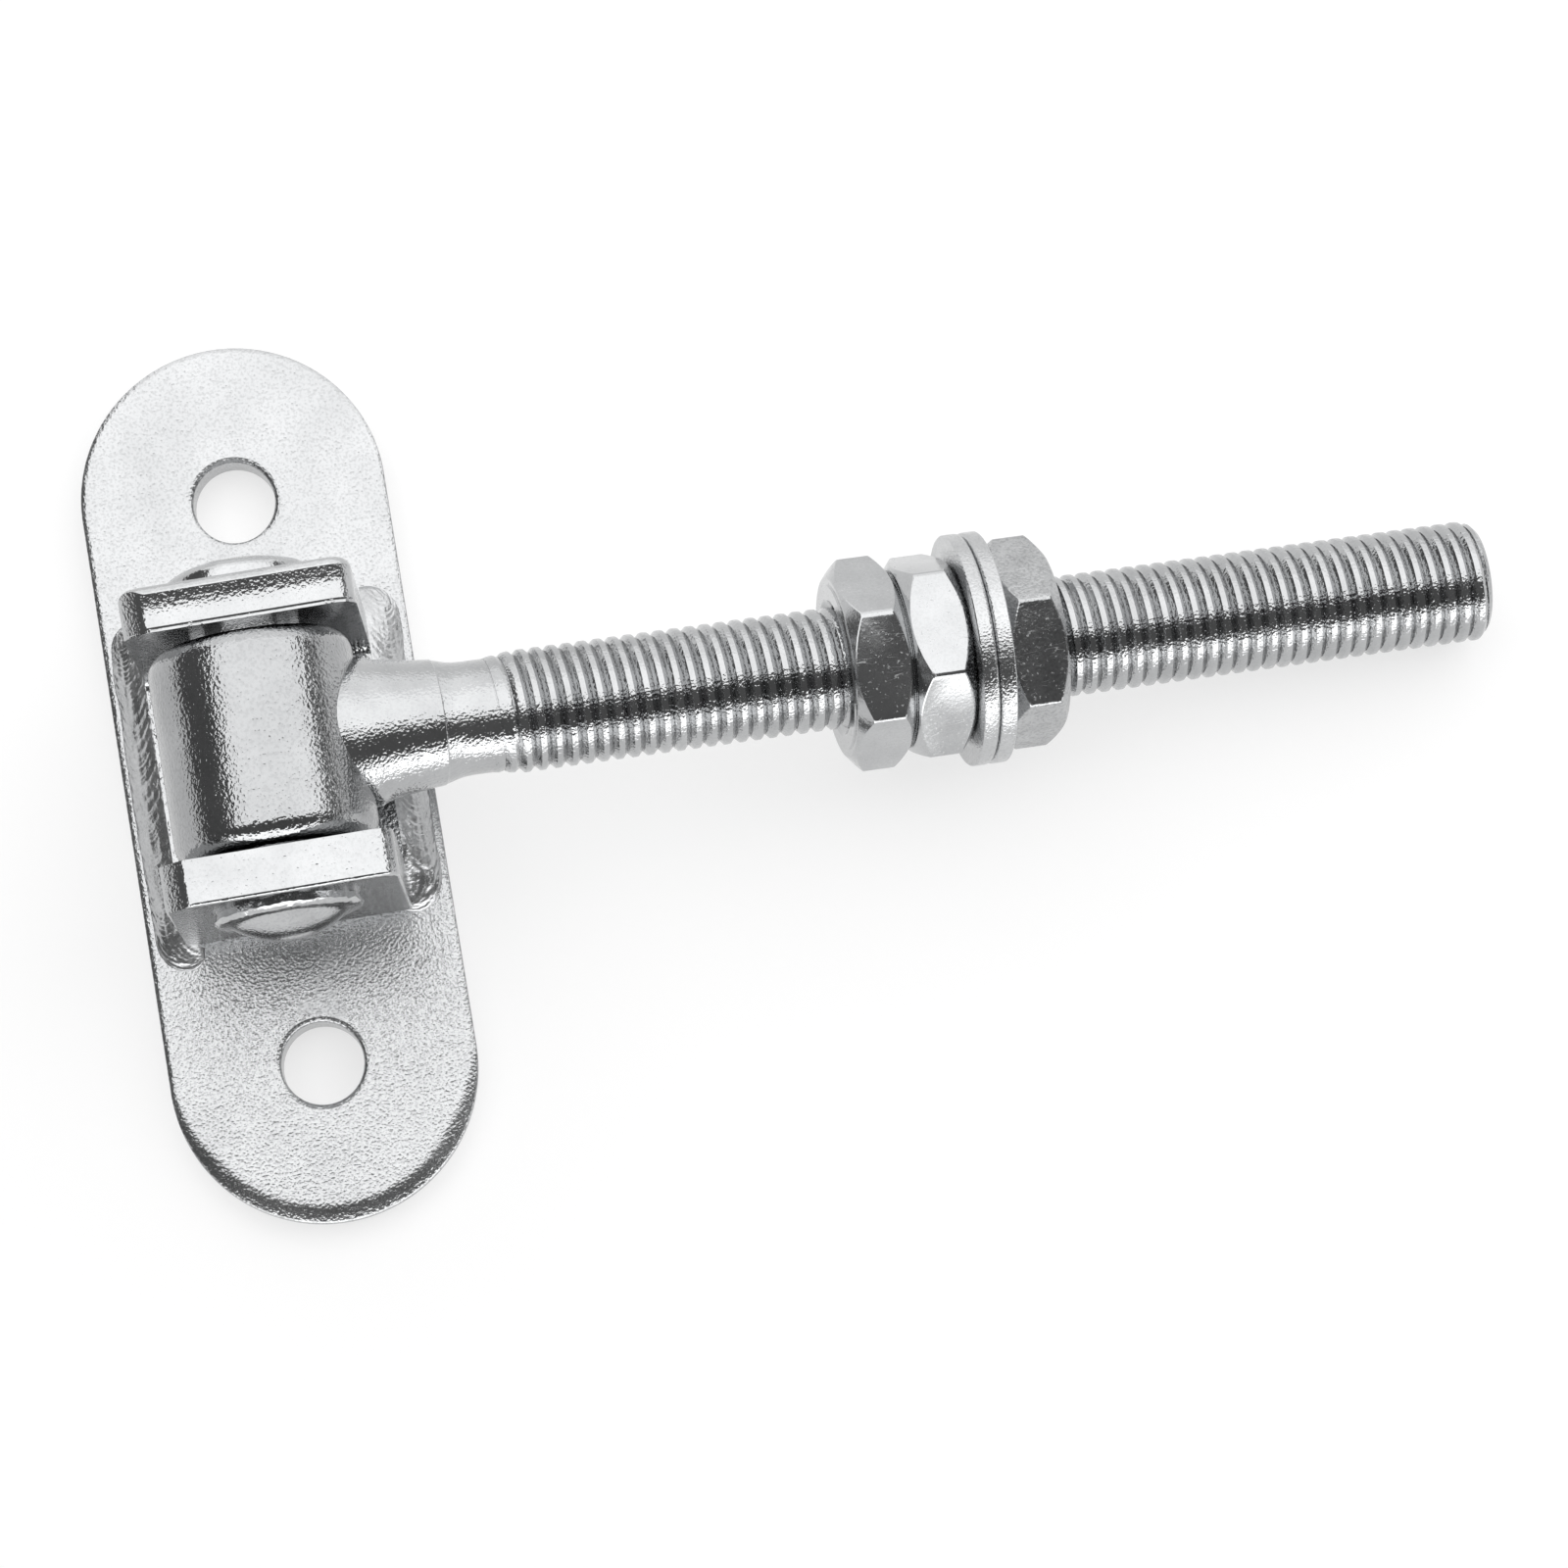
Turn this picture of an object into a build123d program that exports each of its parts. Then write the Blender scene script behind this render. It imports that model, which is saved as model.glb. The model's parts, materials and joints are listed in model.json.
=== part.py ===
# Adjustable gate hinge: a riveted clevis on a mounting plate, carrying an eye bolt with its nuts and washers.
# Millimetres. The plate's back lies on Z = 0, +Y runs along the hinge pin, +X along the threaded stud.
# The hinge lies as it rests on a table: the plate is flat, and the tip of the stud touches the table.

import os
from math import asin, atan2, cos, hypot, radians, sin, sqrt, tan

from build123d import *

# Mounting plate
plate_length = 116.6
plate_width = 40.0
plate_thickness = 5.0
hole_spacing = 75.0
hole_d = 11.0
plate_rollover = 1.2
hole_rollover = 0.6

# Clevis, bent from one flat strip
strip_width = 29.5
strip_thickness = 6.0
ear_gap = 29.2
ear_reach = 11.6
bend_inside_r = 1.5
ear_corner_r = 3.0
outer_edge_r = 1.5
inner_edge_r = 0.3

# Weld beads down both sides of the clevis
weld_edge_margin = 0.9
weld_drop = 0.8
weld_crown = 0.12
left_overrun_top = 2.4
left_overrun_bottom = 2.0
right_overrun_top = 1.6
right_overrun_bottom = 0.2

# Hinge pin, riveted over at both ends
pin_d = 14.0
head_d = 18.6
upper_head_rim = 1.5
upper_head_rise = 3.6
lower_head_rim = 2.6
lower_head_rise = 3.2
lower_head_bevel = 0.6

# Barrel
barrel_d = 26.0
barrel_edge_r = 3.0
bore_lead = 0.6

# Stud. The neck's stretches are counted along the stud from the side of the barrel.
stud_reach = 160.3
thread_d = 15.7
lip_d = 19.4
lip_length = 0.9
collar_d = 17.3
shoulder_d = 16.5
shank_d = 14.5
collar_start = 3.2
shoulder_start = 7.6
shank_start = 11.2
thread_start = 15.4
thread_run_in = 1.0
thread_pitch = 2.0
thread_depth = 1.05
groove_mouth = 1.3
groove_root = 0.3
tip_chamfer = 1.0

# Nuts and washers
nut_flats = 24.0
nut_thickness = 8.0
nut_face_share = 0.95
nut_chamfer_angle = 40.0
nut_lead = 0.9
lock_nut_turn = 13.5
inner_nut_turn = -8.5
outer_nut_turn = 17.5
washer_d = 30.0
washer_bore = 17.0
washer_thickness = 2.2
washer_edge_break = 0.25
stack_start = 74.2

# Clearances
web_clearance = 7.8
barrel_play_above = 1.2
barrel_play_below = 0.4
pin_running_fit = 0.06
pin_rivet_fit = 0.04
nut_running_fit = 0.06
weld_fit = 0.02
table_clearance = 0.02

# Places worked out from the sizes above
barrel_r = barrel_d / 2
pin_height = plate_thickness + strip_thickness + web_clearance + barrel_r
ear_outside = ear_gap / 2 + strip_thickness
ear_front = pin_height + ear_reach
barrel_top = ear_gap / 2 - barrel_play_above
barrel_length = ear_gap - barrel_play_above - barrel_play_below
weld_leg = (plate_width - strip_width) / 2 - weld_edge_margin
weld_height = strip_thickness - weld_drop

# The stud droops until the shoulder of its tip chamfer meets the table
shoulder_reach = stud_reach - tip_chamfer
shoulder_lever = hypot(shoulder_reach, thread_d / 2)
droop = asin((pin_height - table_clearance) / shoulder_lever) - atan2(thread_d / 2, shoulder_reach)

pin_centre = Vector(0, 0, pin_height)
stud_direction = Vector(cos(droop), 0, -sin(droop))
pin_axis = Axis(pin_centre, (0, 1, 0))
stud_axis = Axis(pin_centre, stud_direction)

# Planes for profiles turned about the pin and about the stud: x runs along the axis, y is the radius
pin_profile = Plane(origin=pin_centre, x_dir=(0, 1, 0), z_dir=(1, 0, 0))
stud_profile = Plane(origin=pin_centre, x_dir=stud_direction, z_dir=(0, -1, 0))


def stud_station(distance):
    """Plane across the stud, this far from the pin's axis, with y upward."""
    return Plane(origin=pin_centre + stud_direction * distance, x_dir=(0, 1, 0), z_dir=stud_direction)


os.makedirs("parts", exist_ok=True)

# Mounting plate: a blanked strip with round ends, rolled over on the front where the punch went in
with BuildPart() as mounting_plate:
    with BuildSketch():
        SlotOverall(plate_length, plate_width, rotation=90)
        with GridLocations(0, hole_spacing, 1, 2):
            Circle(hole_d / 2, mode=Mode.SUBTRACT)
    extrude(amount=plate_thickness)
    front = mounting_plate.faces().sort_by(Axis.Z)[-1]
    fillet(front.outer_wire().edges(), plate_rollover)
    front = mounting_plate.faces().sort_by(Axis.Z)[-1]
    fillet(front.edges().filter_by(GeomType.CIRCLE).sort_by(SortBy.RADIUS)[:2], hole_rollover)
mounting_plate.part.label = "mounting_plate"
export_step(mounting_plate.part, "parts/mounting_plate.step")

# Clevis: the strip is bent to a U, with its web on the plate and its two ears standing off it
with BuildPart() as clevis_bracket:
    with BuildSketch(Plane.YZ) as bent_strip:
        with BuildLine():
            Polyline(
                (-ear_outside, ear_front),
                (-ear_outside, plate_thickness),
                (ear_outside, plate_thickness),
                (ear_outside, ear_front),
                (ear_gap / 2, ear_front),
                (ear_gap / 2, plate_thickness + strip_thickness),
                (-ear_gap / 2, plate_thickness + strip_thickness),
                (-ear_gap / 2, ear_front),
                close=True,
            )
        make_face()
        fillet(bent_strip.vertices().group_by(Axis.Y)[0], bend_inside_r + strip_thickness)
        inside_corners = bent_strip.vertices().filter_by(
            lambda corner: abs(corner.Y - plate_thickness - strip_thickness) < bend_inside_r / 10
            and abs(abs(corner.X) - ear_gap / 2) < bend_inside_r / 10
        )
        fillet(inside_corners, bend_inside_r)
    extrude(amount=strip_width / 2, both=True)
    ear_ends = clevis_bracket.faces().filter_by(Axis.Z).group_by(Axis.Z)[-1]
    fillet(ear_ends.edges().filter_by(Axis.Y), ear_corner_r)
    ear_ends = clevis_bracket.faces().filter_by(Axis.Z).group_by(Axis.Z)[-1]
    end_edges = ear_ends.edges().filter_by(Axis.X).sort_by(Axis.Y)
    fillet([end_edges[0], end_edges[-1]], outer_edge_r)
    ear_ends = clevis_bracket.faces().filter_by(Axis.Z).group_by(Axis.Z)[-1]
    end_edges = ear_ends.edges().filter_by(Axis.X).sort_by(Axis.Y)
    fillet(end_edges[1:-1], inner_edge_r)
    with Locations(Plane(origin=pin_centre, z_dir=(0, 1, 0))):
        Cylinder(pin_d / 2 + pin_rivet_fit, 3 * ear_outside, mode=Mode.SUBTRACT)
clevis_bracket.part.label = "clevis_bracket"
export_step(clevis_bracket.part, "parts/clevis_bracket.step")


def weld_bead(side, top, bottom):
    """Convex fillet weld between the plate and one side of the clevis, rounded off at both ends."""
    root = side * strip_width / 2
    straight_top = top - weld_leg
    straight_bottom = bottom + weld_leg
    crown = 1 / 2 + weld_crown
    with BuildPart() as bead:
        for station, turn in ((straight_top, side), (straight_bottom, -side)):
            across = Plane(origin=(root, station, plate_thickness), x_dir=(side, 0, 0), z_dir=(0, -side, 0))
            with BuildSketch(across) as section:
                with BuildLine():
                    Line((0, weld_height), (0, 0))
                    Line((0, 0), (weld_leg, 0))
                    ThreePointArc((weld_leg, 0), (crown * weld_leg, crown * weld_height), (0, weld_height))
                make_face()
            revolve(axis=Axis((root, station, 0), (0, 0, turn)), revolution_arc=90)
        extrude(section.sketch, amount=straight_top - straight_bottom, dir=(0, 1, 0))
    return bead.part


# Weld beads: each runs a little past the ears, further on the left side than on the right
weld_bead_left = weld_bead(-1, ear_outside + left_overrun_top, -ear_outside - left_overrun_bottom)
weld_bead_left.label = "weld_bead_left"
export_step(weld_bead_left, "parts/weld_bead_left.step")
weld_bead_right = weld_bead(1, ear_outside + right_overrun_top, -ear_outside - right_overrun_bottom)
weld_bead_right.label = "weld_bead_right"
export_step(weld_bead_right, "parts/weld_bead_right.step")

# Hinge pin: a plain shank with a domed upper head and a flatter, bevelled head where it is riveted below
with BuildPart() as hinge_pin:
    with BuildSketch(pin_profile):
        with BuildLine():
            Polyline(
                (ear_outside + upper_head_rise, 0),
                (-ear_outside - lower_head_rise, 0),
                (-ear_outside - lower_head_rise, head_d / 2 - lower_head_bevel),
                (-ear_outside - lower_head_rim, head_d / 2),
                (-ear_outside, head_d / 2),
                (-ear_outside, pin_d / 2),
                (ear_outside, pin_d / 2),
                (ear_outside, head_d / 2),
                (ear_outside + upper_head_rim, head_d / 2),
            )
            dome_rise = upper_head_rise - upper_head_rim
            dome_r = (dome_rise**2 + (head_d / 2) ** 2) / (2 * dome_rise)
            RadiusArc((ear_outside + upper_head_rim, head_d / 2), (ear_outside + upper_head_rise, 0), dome_r)
        make_face()
    revolve(axis=pin_axis)
hinge_pin.part.label = "hinge_pin"
export_step(hinge_pin.part, "parts/hinge_pin.step")

# Barrel: a tube on the pin, with well rounded ends, sunk toward the lower ear
with BuildPart() as barrel:
    with BuildSketch(Plane(origin=pin_centre + Vector(0, barrel_top, 0), z_dir=(0, -1, 0))):
        Circle(barrel_r)
        Circle(pin_d / 2 + pin_running_fit, mode=Mode.SUBTRACT)
    extrude(amount=barrel_length)
    rims = barrel.edges().filter_by(GeomType.CIRCLE).sort_by(SortBy.RADIUS)
    chamfer(rims[:2], bore_lead)
    rims = barrel.edges().filter_by(GeomType.CIRCLE).sort_by(SortBy.RADIUS)
    fillet(rims[-2:], barrel_edge_r)
barrel.part.label = "barrel"
export_step(barrel.part, "parts/barrel.step")

# Stud: the upset neck is coped to sit on the barrel, then narrows to the shank that the thread is rolled on.
# The thread is drawn as rings at its pitch, without their lead, so that the nuts' bores clear it anywhere.
with BuildPart() as threaded_stud:
    collar_at = barrel_r + collar_start
    shoulder_at = barrel_r + shoulder_start
    shank_at = barrel_r + shank_start
    thread_at = barrel_r + thread_start
    waist_middle = (shoulder_at + shank_at) / 2
    cope_start = sqrt(barrel_r**2 - (lip_d / 2) ** 2) / 2
    crest_at = thread_at + thread_run_in
    crest_r = thread_d / 2
    root_r = crest_r - thread_depth
    groove_count = int((shoulder_reach - crest_at) / thread_pitch)
    groove_centres = [crest_at + (count + 1 / 2) * thread_pitch for count in range(groove_count)]
    groove_shape = ((-groove_mouth, crest_r), (-groove_root, root_r), (groove_root, root_r), (groove_mouth, crest_r))
    thread_rings = [(centre + width / 2, radius) for centre in groove_centres for width, radius in groove_shape]
    with BuildSketch(stud_profile):
        with BuildLine():
            Polyline(
                (stud_reach, 0),
                (cope_start, 0),
                (cope_start, lip_d / 2),
                (barrel_r + lip_length, lip_d / 2),
            )
            Bezier(
                (barrel_r + lip_length, lip_d / 2),
                (barrel_r + lip_length, collar_d / 2),
                (collar_at, collar_d / 2),
            )
            Line((collar_at, collar_d / 2), (shoulder_at, shoulder_d / 2))
            Bezier(
                (shoulder_at, shoulder_d / 2),
                (waist_middle, shoulder_d / 2),
                (waist_middle, shank_d / 2),
                (shank_at, shank_d / 2),
            )
            Polyline(
                (shank_at, shank_d / 2),
                (thread_at, shank_d / 2),
                (crest_at, crest_r),
                *thread_rings,
                (shoulder_reach, crest_r),
                (stud_reach, crest_r - tip_chamfer),
                (stud_reach, 0),
            )
        make_face()
    revolve(axis=stud_axis)
    with Locations(Plane(origin=pin_centre, z_dir=(0, 1, 0))):
        Cylinder(barrel_r + weld_fit, 2 * barrel_length, mode=Mode.SUBTRACT)
threaded_stud.part.label = "threaded_stud"
export_step(threaded_stud.part, "parts/threaded_stud.step")


def hex_nut(start, turn):
    """Hexagon nut with both faces chamfered, from this station on the stud toward the tip."""
    bore_r = thread_d / 2 + nut_running_fit
    corner_r = nut_flats / sqrt(3)
    face_r = nut_flats / 2 * nut_face_share
    bevel = (corner_r - face_r) * tan(radians(nut_chamfer_angle))
    end = start + nut_thickness
    with BuildPart() as nut:
        with BuildSketch(stud_station(start)):
            RegularPolygon(nut_flats / 2, 6, major_radius=False, rotation=turn)
            Circle(bore_r, mode=Mode.SUBTRACT)
        extrude(amount=nut_thickness)
        bore_rims = nut.edges().filter_by(GeomType.CIRCLE).sort_by(SortBy.RADIUS)[:2]
        chamfer(bore_rims, nut_lead)
        with BuildSketch(stud_profile):
            with BuildLine():
                Polyline(
                    (start, 0),
                    (start, face_r),
                    (start + bevel, corner_r),
                    (end - bevel, corner_r),
                    (end, face_r),
                    (end, 0),
                    close=True,
                )
            make_face()
        revolve(axis=stud_axis, mode=Mode.INTERSECT)
    return nut.part


def flat_washer(start):
    """Plain washer with its outer edges broken, from this station on the stud toward the tip."""
    with BuildPart() as washer:
        with BuildSketch(stud_station(start)):
            Circle(washer_d / 2)
            Circle(washer_bore / 2, mode=Mode.SUBTRACT)
        extrude(amount=washer_thickness)
        outer_rims = washer.edges().filter_by(GeomType.CIRCLE).sort_by(SortBy.RADIUS)[-2:]
        chamfer(outer_rims, washer_edge_break)
    return washer.part


# Nuts and washers stand face to face along the stud, from the lock nut out to the outer nut
inner_nut_start = stack_start + nut_thickness
inner_washer_start = inner_nut_start + nut_thickness
outer_washer_start = inner_washer_start + washer_thickness
outer_nut_start = outer_washer_start + washer_thickness

lock_nut = hex_nut(stack_start, lock_nut_turn)
lock_nut.label = "lock_nut"
export_step(lock_nut, "parts/lock_nut.step")
inner_nut = hex_nut(inner_nut_start, inner_nut_turn)
inner_nut.label = "inner_nut"
export_step(inner_nut, "parts/inner_nut.step")
inner_washer = flat_washer(inner_washer_start)
inner_washer.label = "inner_washer"
export_step(inner_washer, "parts/inner_washer.step")
outer_washer = flat_washer(outer_washer_start)
outer_washer.label = "outer_washer"
export_step(outer_washer, "parts/outer_washer.step")
outer_nut = hex_nut(outer_nut_start, outer_nut_turn)
outer_nut.label = "outer_nut"
export_step(outer_nut, "parts/outer_nut.step")
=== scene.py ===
import bpy
import json
import math
import random
from mathutils import Matrix, Vector, noise


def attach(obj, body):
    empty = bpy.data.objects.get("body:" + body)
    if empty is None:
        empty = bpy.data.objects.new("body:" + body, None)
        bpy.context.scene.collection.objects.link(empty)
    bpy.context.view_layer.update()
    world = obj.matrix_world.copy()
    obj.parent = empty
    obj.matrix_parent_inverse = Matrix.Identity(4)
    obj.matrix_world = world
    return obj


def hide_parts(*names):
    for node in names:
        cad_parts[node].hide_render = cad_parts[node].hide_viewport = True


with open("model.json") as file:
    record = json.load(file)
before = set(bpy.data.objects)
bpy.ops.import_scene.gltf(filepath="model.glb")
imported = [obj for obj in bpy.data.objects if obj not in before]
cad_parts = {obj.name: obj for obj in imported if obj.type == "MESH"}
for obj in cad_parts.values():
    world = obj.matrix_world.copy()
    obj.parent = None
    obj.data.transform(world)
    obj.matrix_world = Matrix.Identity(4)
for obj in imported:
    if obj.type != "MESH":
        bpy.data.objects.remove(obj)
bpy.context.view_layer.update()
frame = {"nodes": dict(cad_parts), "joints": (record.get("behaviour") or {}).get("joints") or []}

mm = 0.001
nodes = frame["nodes"]
joints = {joint["name"]: joint for joint in frame["joints"]}
studAlong = Vector(joints["outer_nut_turn"]["axis"]).normalized()  # from the barrel to the tip
pinCentre = Vector(joints["gate_swing"]["pos_m"])
studTurn = (0, math.atan2(studAlong.x, studAlong.z), 0)  # lays a piece drawn upright along the stud
print("frame loaded,", len(nodes), "nodes")


def hexColour(code):  # sRGB hex to linear
    parts = [int(code[i:i + 2], 16) / 255 for i in (1, 3, 5)]
    return [p / 12.92 if p <= 0.04045 else ((p + 0.055) / 1.055) ** 2.4 for p in parts] + [1]


def addNode(tree, kind, settings=None, links=None):
    node = tree.nodes.new(kind)
    for name, value in (settings or {}).items():
        if isinstance(name, int) or name in node.inputs:
            node.inputs[name].default_value = value
        else:
            setattr(node, name, value)
    for name, (source, output) in (links or {}).items():
        tree.links.new(source.outputs[output], node.inputs[name])
    return node


def newMaterial(name):
    made = bpy.data.materials.new(name)
    made.use_nodes = True
    made.node_tree.nodes.clear()
    return made, made.node_tree


# camera, where the photo was taken from
view = {
    "place": (0.0380, -0.1471, 0.8532),
    "forward": (0.0313, 0.1580, -0.9870),
    "up": (0.1631, 0.9734, 0.1610),
    "lens": 151.5, "sensor": 36, "nearest": 0.01,
}
bpy.ops.object.camera_add(location=view["place"])
camera = bpy.context.object
camera.name = "photoCamera"
forward = Vector(view["forward"]).normalized()
right = forward.cross(Vector(view["up"])).normalized()
turn = Matrix((right, right.cross(forward), -forward)).transposed()
camera.rotation_euler = turn.to_euler()
camera.data.lens = view["lens"]
camera.data.sensor_width = view["sensor"]
camera.data.clip_start = view["nearest"]
bpy.context.scene.camera = camera
bpy.context.scene.view_settings.view_transform = "Standard"
print("camera set")


# floor and light
studio = {
    "floorSize": 14, "floorDrop": 0.00005,  # just clear of the plate's back
    "floorColour": "#a4a4a4",
    "floorGlow": 0.65,  # lifts the floor to white for the eye and for reflections
    "worldStrength": 0.13,
    "lampWatts": 4,  # what a square metre of lamp takes for a radiance of 1
    # place, way it faces, width, height, radiance
    "lights": {
        "overhead": ((0.60, 0.545, 1.00), (0, 0, -1), 2.9, 1.37, 1.36),
        "backWall": ((0.60, 1.24, 0.51), (0, -1, 0), 2.9, 0.98, 1.08),
        "frontStrip": ((0.30, -1.15, 0.30), (0, 1, 0), 3.2, 0.60, 2.05),
        "sideWall": ((2.10, 0.25, 0.25), (-1, 0, 0), 2.4, 0.50, 0.35),
    },
}
bpy.ops.mesh.primitive_plane_add(size=studio["floorSize"], location=(0, 0, -studio["floorDrop"]))
floor = bpy.context.object
floor.name = "floor"
paper, tree = newMaterial("matt white paper")  # even and white, so that only the hinge's own shadow shows
path = addNode(tree, "ShaderNodeLightPath")
seen = addNode(tree, "ShaderNodeMath", {"operation": "MAXIMUM"},
               {0: (path, "Is Camera Ray"), 1: (path, "Is Glossy Ray")})
seen = addNode(tree, "ShaderNodeMath", {"operation": "MAXIMUM"},
               {0: (seen, 0), 1: (path, "Is Transmission Ray")})
glow = addNode(tree, "ShaderNodeMath", {"operation": "MULTIPLY", 1: studio["floorGlow"]}, {0: (seen, 0)})
lit = addNode(tree, "ShaderNodeBsdfDiffuse", {"Color": hexColour(studio["floorColour"])})
glowing = addNode(tree, "ShaderNodeEmission", {"Color": (1, 1, 1, 1)}, {"Strength": (glow, 0)})
both = addNode(tree, "ShaderNodeAddShader", None, {0: (lit, "BSDF"), 1: (glowing, "Emission")})
addNode(tree, "ShaderNodeOutputMaterial", None, {"Surface": (both, 0)})
floor.data.materials.append(paper)

world = bpy.data.worlds.new("studio")
world.use_nodes = True
world.node_tree.nodes.clear()
sky = addNode(world.node_tree, "ShaderNodeBackground",
              {"Color": (1, 1, 1, 1), "Strength": studio["worldStrength"]})
addNode(world.node_tree, "ShaderNodeOutputWorld", None, {"Surface": (sky, "Background")})
bpy.context.scene.world = world

for name, (place, facing, width, height, radiance) in studio["lights"].items():
    bpy.ops.object.light_add(type="AREA", location=place)
    lamp = bpy.context.object
    lamp.name = name
    lamp.data.shape = "RECTANGLE"
    lamp.data.size = width
    lamp.data.size_y = height
    lamp.data.energy = studio["lampWatts"] * width * height * radiance
    lamp.rotation_euler = Vector(facing).to_track_quat("-Z", "Y").to_euler()
    lamp.visible_camera = False
print("floor and lights set")


# bright zinc plate on mild steel: a neutral grey metal whose light and dark come mostly from what it
# mirrors, broken up by a fine pebbled grain, with painted shade darkening the grain's hollows
zincLook = {
    "cloud": (0.3, 0.7),  # noise values between which tone and roughness go from one end to the other
    "hollowShadeRamp": (0.36, 0.52),  # painted shade in the grain's hollows: grain up to the first is darkest, and from the second on not darkened
    "scratchMm": 6, "scratchTurn": (0.4, 0.9, 0.5), "scratchThin": (1, 7, 7), "scratchWide": 0.012,
    "scratchPatch": (0.50, 0.60), "speck": (0.67, 0.74),
}


def zincFinish(name, tone):
    made, tree = newMaterial(name)
    place = addNode(tree, "ShaderNodeTexCoord")
    onPiece = {"Vector": (place, "Object")}
    cloud = addNode(tree, "ShaderNodeTexNoise", {"Scale": 1000 / tone["cloudMm"], "Detail": 3.0}, onPiece)
    colour = addNode(tree, "ShaderNodeValToRGB", None, {"Fac": (cloud, "Fac")})
    for stop, position, code in zip(colour.color_ramp.elements, zincLook["cloud"], tone["colours"]):
        stop.position = position
        stop.color = hexColour(code)
    rough = addNode(tree, "ShaderNodeMapRange", {
        "From Min": zincLook["cloud"][0], "From Max": zincLook["cloud"][1],
        "To Min": tone["rough"][0], "To Max": tone["rough"][1],
    }, {"Value": (cloud, "Fac")})
    grain = addNode(tree, "ShaderNodeTexNoise",
                    {"Scale": 1000 / tone["grainMm"], "Detail": 1.0, "Roughness": 0.5}, onPiece)
    wave = addNode(tree, "ShaderNodeTexNoise", {"Scale": 1000 / tone["waveMm"], "Detail": 2.0}, onPiece)
    waves = addNode(tree, "ShaderNodeBump", {"Strength": 1.0, "Distance": tone["waveDeep"] * mm},
                    {"Height": (wave, "Fac")})
    bump = addNode(tree, "ShaderNodeBump", {"Strength": 1.0, "Distance": tone["grainDeep"] * mm},
                   {"Height": (grain, "Fac"), "Normal": (waves, "Normal")})
    roughness = (rough, "Result")
    if "scuffs" in tone:  # hairline scratches and specks from the spanner, duller than the flat
        lay = addNode(tree, "ShaderNodeMapping",
                      {"Rotation": zincLook["scratchTurn"], "Scale": zincLook["scratchThin"]}, onPiece)
        streak = addNode(tree, "ShaderNodeTexNoise", {
            "Scale": 1000 / zincLook["scratchMm"], "Detail": 1.0,
        }, {"Vector": (lay, "Vector")})
        off = addNode(tree, "ShaderNodeMath", {"operation": "SUBTRACT", 1: 0.5}, {0: (streak, "Fac")})
        off = addNode(tree, "ShaderNodeMath", {"operation": "ABSOLUTE"}, {0: (off, 0)})
        line = addNode(tree, "ShaderNodeMapRange", {
            "From Min": 0.0, "From Max": zincLook["scratchWide"], "To Min": 1.0, "To Max": 0.0,
        }, {"Value": (off, 0)})
        here = addNode(tree, "ShaderNodeMapRange", {
            "From Min": zincLook["scratchPatch"][0], "From Max": zincLook["scratchPatch"][1],
        }, {"Value": (wave, "Fac")})
        line = addNode(tree, "ShaderNodeMath", {"operation": "MULTIPLY"},
                       {0: (line, "Result"), 1: (here, "Result")})
        speck = addNode(tree, "ShaderNodeMapRange", {
            "From Min": zincLook["speck"][0], "From Max": zincLook["speck"][1],
        }, {"Value": (grain, "Fac")})
        marks = addNode(tree, "ShaderNodeMath", {"operation": "MAXIMUM"},
                        {0: (line, 0), 1: (speck, "Result")})
        marks = addNode(tree, "ShaderNodeMath", {"operation": "MULTIPLY_ADD", 1: tone["scuffs"]},
                        {0: (marks, 0), 2: (rough, "Result")})
        roughness = (marks, 0)
    # painted shade: the base colour is darkened in the grain's hollows
    hollowShadeRamp = addNode(tree, "ShaderNodeMapRange", {
        "From Min": zincLook["hollowShadeRamp"][0], "From Max": zincLook["hollowShadeRamp"][1],
        "To Min": 1 - tone["hollowShade"], "To Max": 1.0,
    }, {"Value": (grain, "Fac")})
    colourWithHollowShade = addNode(tree, "ShaderNodeVectorMath", {"operation": "SCALE"},
                     {"Vector": (colour, "Color"), "Scale": (hollowShadeRamp, "Result")})
    metal = addNode(tree, "ShaderNodeBsdfPrincipled", {"Metallic": 1.0}, {
        "Base Color": (colourWithHollowShade, "Vector"), "Roughness": roughness, "Normal": (bump, "Normal"),
    })
    addNode(tree, "ShaderNodeOutputMaterial", None, {"Surface": (metal, "BSDF")})
    return made
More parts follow.
